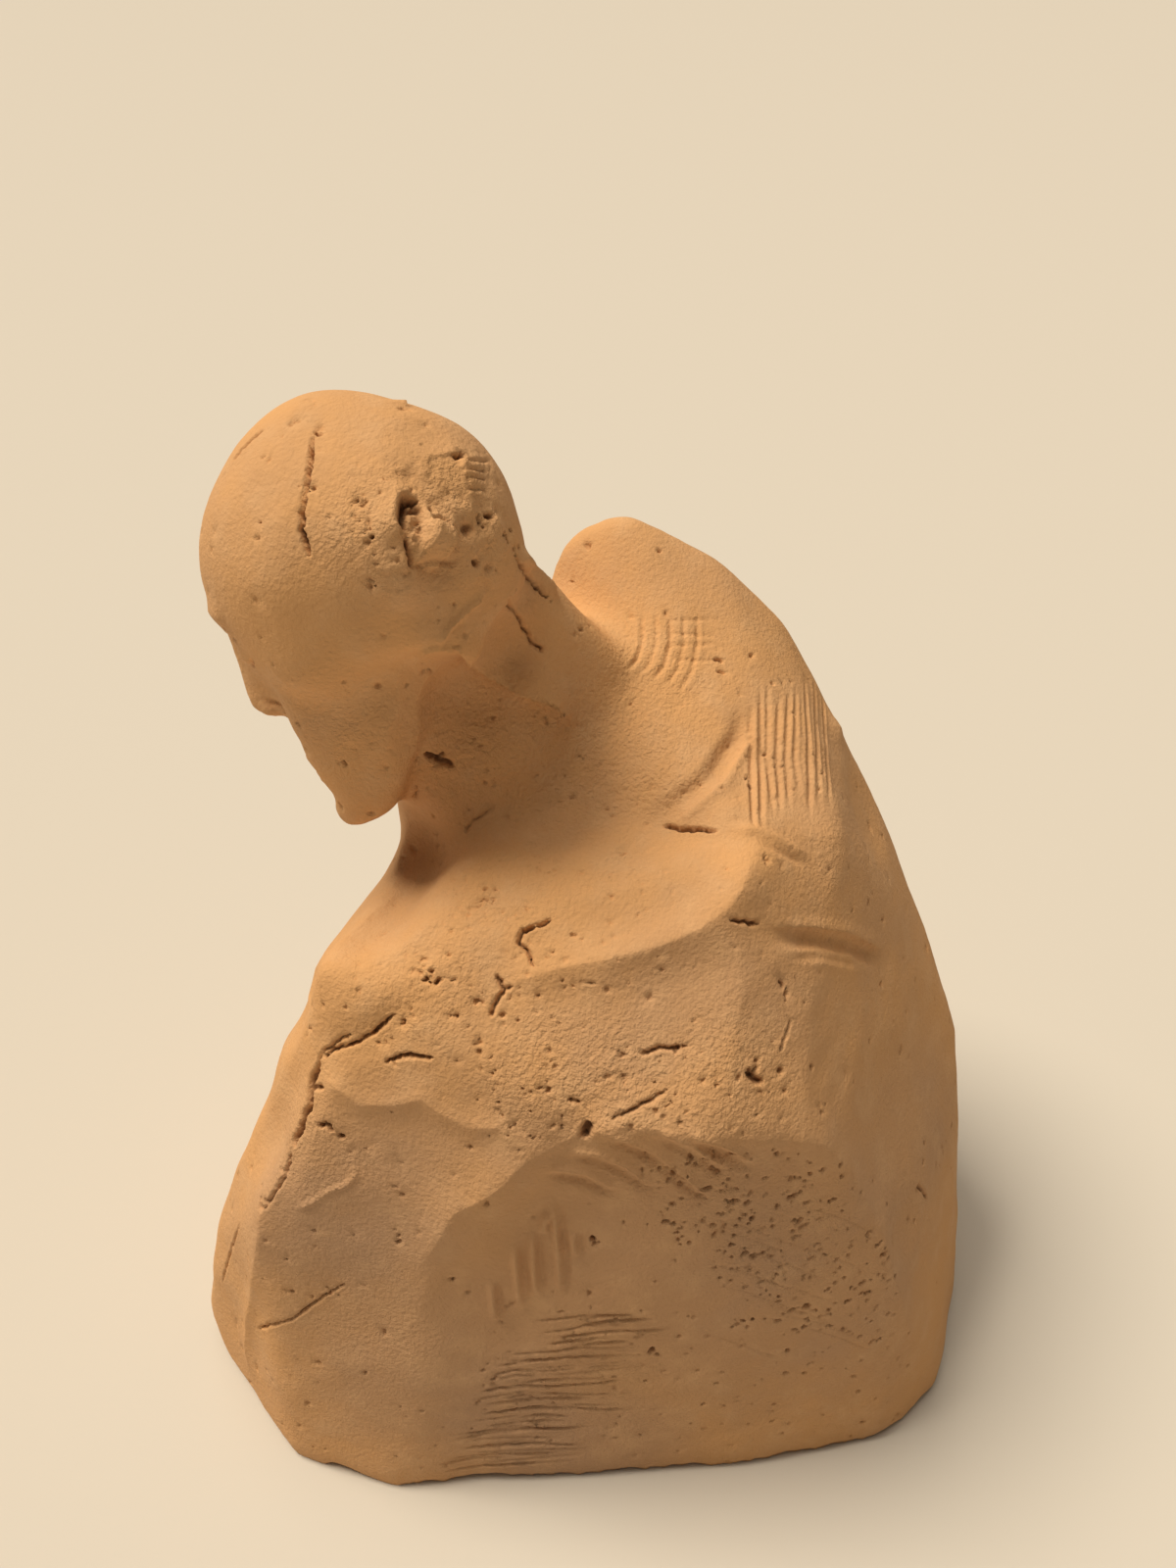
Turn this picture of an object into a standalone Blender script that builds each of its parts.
"""Small terracotta sketch of a bust: a bowed, bald head on a cut-off torso, modelled by hand in one piece.

The figure looks along -Y, its left side is +X and +Z is up. The origin is the middle of the flat underside.
The pose and the carving are kept as shares of the height: every place below is in hundredths of BUST_HEIGHT.
"""
import math

import bmesh
import bpy
import numpy as np
from mathutils import Matrix, Vector

BUST_HEIGHT = 0.102
UNIT = BUST_HEIGHT / 100

# How the clay is built up, in hundredths of the height unless it is a count
CLAY_GRAIN = 0.62
CUT_DEPTH = 5.0
TORSO_SMOOTHING = 7
HEAD_SMOOTHING = 6
JOIN_SMOOTHING = 2
FACET_COUNT = 9400
SHARP_ANGLE = math.radians(50)

# Marks of thumb and tool, in hundredths of the height; a negative depth raises a lip
THUMB_WIDTH = 1.7
THUMB_DEPTH = 0.5
CRACK_WIDTH = 1.3
CRACK_DEPTH = 0.8
SEAM_WIDTH = 1.2
SEAM_DEPTH = 0.4
SLOT_WIDTH = 1.3
SLOT_DEPTH = 1.7
NOTCH_WIDTH = 1.7
NOTCH_DEPTH = 1.2
NUB_WIDTH = 2.2
NUB_HEIGHT = 1.0
HOLLOW_WIDTH = 5.0
HOLLOW_DEPTH = 1.5
JAW_LIP_WIDTH = 2.2
JAW_LIP_HEIGHT = 0.7
NAPE_LIP_WIDTH = 1.8
NAPE_LIP_HEIGHT = 0.9
WAIST_WIDTH = 7.0
WAIST_DEPTH = 1.3
CUT_WIDTH = 9.0
CUT_HOLLOW = 0.8
COLLAR_WIDTH = 3.2
COLLAR_HEIGHT = 0.8
COLLAR_HOLLOW_WIDTH = 7.0
COLLAR_HOLLOW_DEPTH = 2.3
PIT_WIDTH = 4.5
PIT_DEPTH = 1.2
BREASTBONE_WIDTH = 6.5
BREASTBONE_DEPTH = 1.1
CHEST_FOLD_WIDTH = 4.5
CHEST_FOLD_DEPTH = 1.0

# The face's marks, in the same measure
SOCKET_WIDTH = 2.6
SOCKET_DEPTH = 1.1
LID_WIDTH = 2.0
LID_HEIGHT = 1.0
LASH_WIDTH = 0.8
LASH_DEPTH = 0.5
FOLD_WIDTH = 1.2
FOLD_DEPTH = 0.4
LIP_WIDTH = 1.5
LIP_HEIGHT = 0.9
MOUTH_WIDTH = 0.9
MOUTH_DEPTH = 0.9
CHIN_FOLD_WIDTH = 1.6
CHIN_FOLD_DEPTH = 0.6

# Where a palm rubbed the clay round: the middle, the reach and the passes
RUBBED = (
    ((-6.0, -26.0, 42.0), 30.0, 60),
    ((-6.0, 2.0, 66.0), 11.0, 30),
    ((-12.0, -15.0, 66.0), 15.0, 60),
    ((-3.0, -19.0, 64.0), 12.0, 80),
    ((-4.5, -6.0, 82.0), 9.0, 60),
    ((-26.0, -5.0, 75.0), 12.0, 60),
    ((-24.0, 20.0, 62.0), 12.0, 40),
)

# Terracotta, as seen in warm light
CLAY_COLOUR = (0.60, 0.35, 0.19, 1.0)
CLAY_ROUGHNESS = 0.92

# The head: the middle of its skull, how far it bows, leans to its right and turns to its left
SKULL_CENTRE = (4.6, -18.5, 85.9)
SKULL_RADII = (12.4, 13.5, 12.7)
CROWN_RADII = (10.0, 10.8, 10.8)
NAPE_RADII = (9.4, 8.8, 8.0)
HEAD_BOW = math.radians(26)
HEAD_LEAN = math.radians(16)
HEAD_TURN = math.radians(20)

# The outline of the underside, from the left back corner round the left arm stump to the far side
BASE_OUTLINE = (
    (32.0, -28.4), (37.4, -18.4), (36.4, -7.2), (28.0, 9.9), (22.6, 25.0), (14.8, 38.2),
    (7.6, 42.8), (-5.7, 43.2), (-21.8, 36.9), (-31.0, 22.0), (-31.5, 1.0), (-23.0, -22.0),
    (-7.4, -35.5), (14.1, -38.5), (25.5, -35.6),
)


def place(x, y, z):
    """A point given in hundredths of the bust's height, in metres."""
    return Vector((x, y, z)) * UNIT


def head_matrix():
    """Turns places in the head (left, back, up from the skull's middle) into places in the bust."""
    turn = Matrix.Rotation(HEAD_TURN, 4, 'Z')
    lean = Matrix.Rotation(-HEAD_LEAN, 4, 'Y')
    bow = Matrix.Rotation(HEAD_BOW, 4, 'X')
    return Matrix.Translation(place(*SKULL_CENTRE)) @ turn @ lean @ bow


class Clay:
    """Lumps and slabs of clay, pressed into one body."""

    def __init__(self, name):
        self.name = name
        self.mesh = bmesh.new()

    def slab(self, corners, matrix=None):
        """The tightest body round a few corners."""
        matrix = matrix or Matrix()
        verts = [self.mesh.verts.new(matrix @ place(*corner)) for corner in corners]
        hull = bmesh.ops.convex_hull(self.mesh, input=verts, use_existing_faces=False)
        unused = hull["geom_interior"] + hull["geom_unused"]
        loose = [vert for vert in verts if vert in unused]
        bmesh.ops.delete(self.mesh, geom=loose)

    def pellet(self, centre, radii, matrix=None, tilt=0.0):
        """A rolled lump: a ball stretched to three radii and tilted about its left-right axis."""
        matrix = matrix or Matrix()
        shape = Matrix.Translation(place(*centre)) @ Matrix.Rotation(tilt, 4, 'X')
        shape = shape @ Matrix.Diagonal((*place(*radii), 1.0))
        bmesh.ops.create_icosphere(self.mesh, subdivisions=4, radius=1.0, matrix=matrix @ shape)

    def pair(self, centre, radii, matrix=None, tilt=0.0):
        """The same lump on the left and on the right."""
        x, y, z = centre
        self.pellet((x, y, z), radii, matrix, tilt)
        self.pellet((-x, y, z), radii, matrix, tilt)

    def fuse(self, smoothing):
        """Press everything into one closed skin and rub it down."""
        data = bpy.data.meshes.new(self.name)
        self.mesh.to_mesh(data)
        self.mesh.free()
        body = bpy.data.objects.new(self.name, data)
        bpy.context.collection.objects.link(body)
        return rework(body, smoothing)


def rework(body, smoothing):
    """Remesh a body into one skin, smooth it and keep the result."""
    remesh = body.modifiers.new("One skin", 'REMESH')
    remesh.mode = 'VOXEL'
    remesh.voxel_size = CLAY_GRAIN * UNIT
    rub = body.modifiers.new("Rub down", 'SMOOTH')
    rub.factor = 0.5
    rub.iterations = smoothing
    return apply_modifiers(body)


def apply_modifiers(body):
    """Swap a body's mesh for what its modifiers make of it."""
    graph = bpy.context.evaluated_depsgraph_get()
    finished = bpy.data.meshes.new_from_object(body.evaluated_get(graph))
    body.modifiers.clear()
    old = body.data
    body.data = finished
    bpy.data.meshes.remove(old)
    return body


def nearness(distance, reach):
    """A soft weight: 1 at no distance, 0 from the reach outward."""
    share = np.clip(1 - distance / reach, 0, 1)
    return share * share * (3 - 2 * share)


def skin_arrays(body):
    """The places and normals of a body's vertices, as rows."""
    count = len(body.data.vertices)
    places = np.empty(count * 3)
    body.data.vertices.foreach_get("co", places)
    normals = np.empty(count * 3)
    body.data.vertex_normals.foreach_get("vector", normals)
    return places.reshape(-1, 3), normals.reshape(-1, 3)


def set_skin(body, places):
    """Give a body's vertices new places."""
    body.data.vertices.foreach_set("co", places.ravel())
    body.data.update()


def rub(body, centre, reach, passes):
    """Thumb a region smooth, softly fading out."""
    places, _ = skin_arrays(body)
    weights = nearness(np.linalg.norm(places - np.array(place(*centre)), axis=1), reach * UNIT)
    group = body.vertex_groups.new(name="Thumb")
    for index in np.flatnonzero(weights > 0).tolist():
        group.add([index], weights[index], 'REPLACE')
    thumb = body.modifiers.new("Thumb", 'SMOOTH')
    thumb.factor = 0.5
    thumb.iterations = passes
    thumb.vertex_group = group.name
    apply_modifiers(body)
    body.vertex_groups.clear()


def distance_to_path(places, path):
    """How far each place is from a line through the path's points."""
    nearest = np.full(len(places), np.inf)
    for start, end in zip(path[:-1], path[1:]):
        along = end - start
        share = np.clip((places - start) @ along / (along @ along), 0, 1)
        nearest = np.minimum(nearest, np.linalg.norm(places - start - share[:, None] * along, axis=1))
    return nearest


def stroke(body, path, width, depth, matrix=None):
    """Draw a tool along a path: a positive depth digs in, a negative one raises a lip."""
    matrix = matrix or Matrix()
    points = [np.array(matrix @ place(*point)) for point in path]
    if len(points) == 1:
        points.append(points[0] + 1e-7)
    places, normals = skin_arrays(body)
    weights = nearness(distance_to_path(places, points), width * UNIT)
    set_skin(body, places - normals * (weights * depth * UNIT)[:, None])


def add_torso(clay):
    """The cut-off torso: a trunk, a shoulder shelf, the raised far shoulder and the chest."""
    foot = [(x, y, -CUT_DEPTH) for x, y in BASE_OUTLINE] + [(x, y, 1.5) for x, y in BASE_OUTLINE]
    near_ridge = [
        (27.6, 3.5, 43.4), (24.9, 8.7, 47.8), (21.2, 17.7, 48.6), (16.3, 26.4, 44.4), (12.4, 35.4, 23.0),
    ]
    stump = [(27.7, -14.3, 49.8), (27.4, -7.7, 49.0), (31.4, -16.1, 39.7), (33.4, -19.8, 33.1)]
    left_flank = [(29.0, -33.2, 7.1), (28.1, -30.2, 20.0), (25.5, -22.9, 32.4)]
    right_flank = [(-8.5, 41.2, 15.0), (-13.4, 37.5, 31.9), (-24.0, 32.0, 30.0), (-34.0, 14.0, 32.0)]
    front = [(-30.0, -10.0, 30.0), (-24.0, -22.0, 22.0), (-8.0, -33.0, 19.0), (14.0, -34.0, 17.0)]
    clay.slab(foot + near_ridge + stump + left_flank + right_flank + front)

    shelf_edge = [
        (20.3, -0.1, 56.2), (15.4, 8.9, 58.8), (10.2, 16.4, 61.0), (4.6, 17.6, 63.8), (-4.1, 23.1, 61.4),
    ]
    near_shoulder = [(25.0, -15.4, 58.4), (27.7, -14.3, 49.8), (27.4, -7.7, 49.0), (9.3, -13.4, 56.2)]
    chest_top = [(-9.0, -16.0, 55.5), (4.6, -16.2, 50.8), (19.0, -19.5, 49.0), (-2.0, -22.0, 40.0)]
    saddle = [(5.6, -9.7, 58.8), (3.1, -2.7, 63.0), (-0.9, -0.3, 66.6), (-3.1, 8.5, 64.4)]
    clay.slab(near_ridge[:4] + shelf_edge + near_shoulder + chest_top + saddle[:2] + saddle[3:])

    hump_back = [
        (-8.5, 41.2, 15.0), (-13.4, 37.5, 31.9), (-17.4, 31.4, 43.6), (-20.6, 25.0, 53.2),
        (-21.8, 19.4, 62.8),
    ]
    hump_top = [
        (-22.6, 12.6, 72.0), (-21.7, 4.8, 78.8), (-19.9, -3.4, 82.6), (-18.1, -8.2, 80.8),
        (-17.0, -9.8, 78.4),
    ]
    hump_near = [(-7.6, 3.1, 70.9), (-4.1, 12.5, 66.0), (-4.1, 23.1, 61.4)]
    hump_far = [
        (-26.0, -6.0, 77.5), (-28.0, 4.0, 73.5), (-28.5, 12.0, 67.0), (-31.5, -6.0, 68.0),
        (-34.5, 8.0, 54.0), (-30.0, -12.0, 34.0),
    ]
    clay.slab(near_ridge[2:] + shelf_edge[2:] + hump_back)
    hump = hump_back[1:] + hump_top + hump_near + hump_far
    clay.slab(hump + right_flank[2:] + front[:2] + [(-17.0, -15.0, 62.0)])
    saddle_foot = [(-10.0, -2.0, 64.0), (-10.0, 0.0, 50.0), (4.0, 8.0, 50.0)]
    clay.slab(saddle + hump_near + shelf_edge[3:] + saddle_foot)

    chest = [
        (-30.5, -8.0, 62.0), (-30.0, -13.0, 36.0), (-18.0, -15.0, 63.0), (-2.0, -24.5, 39.0),
        (-18.0, -21.5, 42.0),
    ]
    clay.slab(chest + chest_top + front[1:] + near_shoulder[:2] + left_flank[1:] + [(0.0, 0.0, 40.0)])


def add_neck(clay):
    """The thick neck that leans forward out of the shoulder shelf, and its slope up to the far shoulder."""
    root = [
        (4.0, -18.0, 50.0), (-12.0, -17.0, 56.0), (-14.0, 3.0, 66.0), (3.5, -1.0, 60.0), (9.5, -9.5, 56.0),
    ]
    nape = [
        (-2.8, -6.0, 83.6), (-5.2, -2.2, 76.2), (-8.0, 1.8, 71.5), (-8.0, -10.5, 83.0), (3.5, -8.0, 77.0),
    ]
    throat = [
        (4.4, -17.6, 50.8), (1.5, -20.5, 66.0), (-6.0, -18.5, 67.0), (8.0, -13.5, 74.0), (-9.0, -13.0, 76.0),
    ]
    clay.slab(root + nape + throat)
    far_slope = [
        (-10.0, -15.0, 60.0), (-9.0, -3.0, 74.0), (-19.0, -8.0, 77.0), (-27.0, -8.0, 67.0),
        (-18.0, -15.0, 61.0),
    ]
    clay.slab(far_slope + [(-10.0, -12.0, 72.0), (-14.0, 0.0, 60.0), (-14.0, 3.0, 74.0)])


def add_head(clay, head):
    """A calm, bald head on plain proportions, in the head's own places: left, back and up."""
    clay.pellet((0, 0, -0.6), SKULL_RADII, head)
    clay.pellet((0, 0.4, 2.2), CROWN_RADII, head)
    clay.pellet((0, 4.2, -3.6), NAPE_RADII, head)
    clay.pair((5.4, -4.4, -4.6), (5.4, 6.2, 5.2), head)
    clay.pair((6.0, -0.6, -8.2), (2.8, 4.4, 5.4), head)
    cheek = [
        (8.4, -6.4, -4.0), (8.2, -4.0, -9.0), (7.6, 0.5, -13.0), (6.4, -10.2, -4.0), (5.4, -11.0, -10.0),
    ]
    chin = [(3.1, -11.2, -21.2), (3.8, -7.6, -21.0), (3.2, -12.4, -14.0)]
    half_face = cheek + chin
    clay.slab(half_face + [(-x, y, z) for x, y, z in half_face] + [(0, 2.0, -8.0)], head)
    bridge = [(1.1, -13.2, 0.0), (0.9, -16.0, -8.4), (2.3, -12.4, -9.8), (1.6, -11.0, 1.0)]
    clay.slab(bridge + [(-x, y, z) for x, y, z in bridge], head)
    clay.pair((3.6, -11.5, 0.5), (3.2, 1.4, 1.2), head)
    clay.pellet((0, -11.0, -19.4), (3.6, 2.5, 2.4), head)


def carve_face(body, head):
    """Sockets with closed lids, a shut mouth and the fold beside the nose."""
    for side in (1, -1):
        socket = [(side * 3.2, -12.8, -2.6), (side * 6.2, -11.2, -2.6)]
        lid = [(side * 3.5, -12.0, -3.0), (side * 5.9, -10.9, -3.1)]
        lashes = [(side * 2.8, -12.6, -3.9), (side * 4.6, -12.6, -4.4), (side * 6.4, -10.9, -3.8)]
        fold = [(side * 2.6, -13.2, -9.4), (side * 4.2, -12.2, -13.0)]
        stroke(body, socket, SOCKET_WIDTH, SOCKET_DEPTH, head)
        stroke(body, lid, LID_WIDTH, -LID_HEIGHT, head)
        stroke(body, lashes, LASH_WIDTH, LASH_DEPTH, head)
        stroke(body, fold, FOLD_WIDTH, FOLD_DEPTH, head)
    upper_lip = [(-2.4, -12.8, -13.4), (0, -13.2, -13.0), (2.4, -12.8, -13.4)]
    lower_lip = [(-2.0, -12.6, -15.6), (0, -13.0, -15.9), (2.0, -12.6, -15.6)]
    mouth = [(-3.0, -12.6, -14.5), (0, -13.4, -14.4), (3.0, -12.6, -14.5)]
    chin_fold = [(-1.8, -12.4, -17.3), (1.8, -12.4, -17.3)]
    stroke(body, upper_lip, LIP_WIDTH, -LIP_HEIGHT, head)
    stroke(body, lower_lip, LIP_WIDTH, -LIP_HEIGHT, head)
    stroke(body, mouth, MOUTH_WIDTH, MOUTH_DEPTH, head)
    stroke(body, chin_fold, CHIN_FOLD_WIDTH, CHIN_FOLD_DEPTH, head)


def add_ears(clay, head):
    """Two rough ears set well back on the skull."""
    clay.pellet((11.4, 4.6, -1.2), (1.9, 2.5, 4.3), head, tilt=math.radians(-14))
    clay.pellet((-11.6, 3.5, -3.0), (1.8, 2.4, 4.2), head, tilt=math.radians(-14))


def carve_head_marks(body, head):
    """The hollow under the jaw with its raised lip, the slot at the left ear and the seam down the skull."""
    hollow = [(13.0, -11.0, 78.5), (8.5, -8.6, 76.5), (4.0, -7.0, 72.5)]
    jaw_lip = [(12.9, -8.9, 83.4), (9.7, -7.2, 80.9), (2.2, -5.6, 74.1), (0.1, -2.3, 70.1)]
    nape_lip = [(-1.5, -4.0, 84.0), (-3.7, -3.6, 81.1)]
    slot = [(11.2, 5.8, 2.6), (12.8, 4.6, -0.6)]
    seam = [(6.2, 2.4, 10.2), (9.6, 1.1, 7.1), (11.6, -0.8, 3.5), (12.0, -1.7, 0.8), (11.4, -3.8, -3.1)]
    stroke(body, hollow, HOLLOW_WIDTH, HOLLOW_DEPTH)
    stroke(body, jaw_lip, JAW_LIP_WIDTH, -JAW_LIP_HEIGHT)
    stroke(body, nape_lip, NAPE_LIP_WIDTH, -NAPE_LIP_HEIGHT)
    stroke(body, slot, SLOT_WIDTH, SLOT_DEPTH, head)
    stroke(body, seam, SEAM_WIDTH, SEAM_DEPTH, head)


def carve_back_marks(body):
    """Thumb grooves on the back of the far shoulder, and the nub pushed out at its edge."""
    grooves = (
        [(3.8, 7.8, 63.7), (3.8, 14.0, 64.2), (2.3, 18.0, 63.6), (0.2, 21.2, 61.4)],
        [(10.5, 16.4, 60.4), (7.5, 20.5, 58.0), (2.2, 25.1, 53.9), (-3.9, 29.0, 47.5)],
        [(-7.5, 12.2, 68.2), (-3.9, 12.8, 66.3), (0.9, 11.4, 65.8), (3.4, 7.7, 63.9)],
    )
    for groove in grooves:
        stroke(body, groove, THUMB_WIDTH, THUMB_DEPTH)
    stroke(body, [(-18.3, 19.6, 63.2)], NUB_WIDTH, -NUB_HEIGHT)


def carve_left_arm(body):
    """The cut left arm: its crack, the waist above it, the notch in its edge and the hollow of the cut."""
    crack = [
        (24.6, -7.3, 55.3), (26.2, -9.4, 52.8), (27.1, -13.7, 51.0), (29.1, -14.7, 45.5),
        (31.2, -16.3, 39.6), (32.8, -18.7, 34.3),
    ]
    waist = [(25.6, -17.6, 53.0), (27.0, -19.5, 45.0), (27.5, -20.5, 39.0)]
    stroke(body, waist, WAIST_WIDTH, WAIST_DEPTH)
    stroke(body, crack, CRACK_WIDTH, CRACK_DEPTH)
    stroke(body, [(24.2, 8.6, 48.2), (26.4, 6.4, 44.4)], NOTCH_WIDTH, NOTCH_DEPTH)
    stroke(body, [(27.5, 8.0, 38.0), (31.0, 2.0, 22.0)], CUT_WIDTH, CUT_HOLLOW)


def carve_chest(body):
    """Collar bones, the hollow beside the neck, its pit, the breastbone and the lower edge of the chest."""
    collar_hollow = [(12.0, -13.2, 58.8), (20.0, -13.0, 59.0)]
    left_collar = [(5.0, -18.0, 51.0), (18.0, -18.8, 51.5)]
    right_collar = [(-6.0, -17.5, 56.0), (-17.0, -15.0, 61.5)]
    left_fold = [(3.0, -26.5, 34.0), (10.0, -27.0, 32.0), (18.0, -25.5, 34.0)]
    right_fold = [(-8.0, -25.0, 35.0), (-15.0, -23.5, 34.0), (-23.0, -19.0, 37.0)]
    stroke(body, collar_hollow, COLLAR_HOLLOW_WIDTH, COLLAR_HOLLOW_DEPTH)
    stroke(body, left_collar, COLLAR_WIDTH, -COLLAR_HEIGHT)
    stroke(body, right_collar, COLLAR_WIDTH, -COLLAR_HEIGHT)
    stroke(body, [(-1.5, -18.5, 55.0)], PIT_WIDTH, PIT_DEPTH)
    stroke(body, [(-3.0, -21.0, 50.0), (-3.0, -25.0, 38.0)], BREASTBONE_WIDTH, BREASTBONE_DEPTH)
    stroke(body, left_fold, CHEST_FOLD_WIDTH, CHEST_FOLD_DEPTH)
    stroke(body, right_fold, CHEST_FOLD_WIDTH, CHEST_FOLD_DEPTH)


def cut_flat(body):
    """Slice the body off level at the underside and close the cut."""
    mesh = bmesh.new()
    mesh.from_mesh(body.data)
    geometry = mesh.verts[:] + mesh.edges[:] + mesh.faces[:]
    bmesh.ops.bisect_plane(mesh, geom=geometry, plane_co=(0, 0, 0), plane_no=(0, 0, 1), clear_inner=True)
    rim = [vert for vert in mesh.verts if vert.is_boundary]
    bmesh.ops.remove_doubles(mesh, verts=rim, dist=CLAY_GRAIN * UNIT / 4)
    rim = [edge for edge in mesh.edges if edge.is_boundary]
    bmesh.ops.edgeloop_fill(mesh, edges=rim)
    bmesh.ops.triangulate(mesh, faces=mesh.faces[:])
    bmesh.ops.recalc_face_normals(mesh, faces=mesh.faces[:])
    mesh.to_mesh(body.data)
    mesh.free()


def facet(body):
    """Keep the shape with as few facets as the figure needs."""
    body.data.calc_loop_triangles()
    thin = body.modifiers.new("Facets", 'DECIMATE')
    thin.ratio = FACET_COUNT / len(body.data.loop_triangles)
    return apply_modifiers(body)


def make_clay_material():
    """Fired, unglazed clay."""
    material = bpy.data.materials.new("terracotta")
    material.use_nodes = True
    shader = material.node_tree.nodes["Principled BSDF"]
    shader.inputs["Base Color"].default_value = CLAY_COLOUR
    shader.inputs["Roughness"].default_value = CLAY_ROUGHNESS
    shader.inputs["Metallic"].default_value = 0.0
    return material


def make_bust():
    """The whole bust, one piece of fired clay."""
    head = head_matrix()
    torso = Clay("torso clay")
    add_torso(torso)
    add_neck(torso)
    torso = torso.fuse(TORSO_SMOOTHING)
    top = Clay("head clay")
    add_head(top, head)
    add_ears(top, head)
    top = top.fuse(HEAD_SMOOTHING)
    carve_face(top, head)

    bust = Clay("bust")
    for lump in (torso, top):
        bust.mesh.from_mesh(lump.data)
        bpy.data.objects.remove(lump)
    bust = bust.fuse(JOIN_SMOOTHING)
    for centre, reach, passes in RUBBED:
        rub(bust, centre, reach, passes)
    carve_head_marks(bust, head)
    carve_back_marks(bust)
    carve_left_arm(bust)
    carve_chest(bust)
    bust = facet(bust)
    cut_flat(bust)
    bust.data.shade_smooth()
    bust.data.set_sharp_from_angle(angle=SHARP_ANGLE)
    bust.data.materials.append(make_clay_material())
    return bust


def main():
    """Clear the scene and model the bust."""
    for leftover in list(bpy.data.objects):
        bpy.data.objects.remove(leftover)
    make_bust()


main()
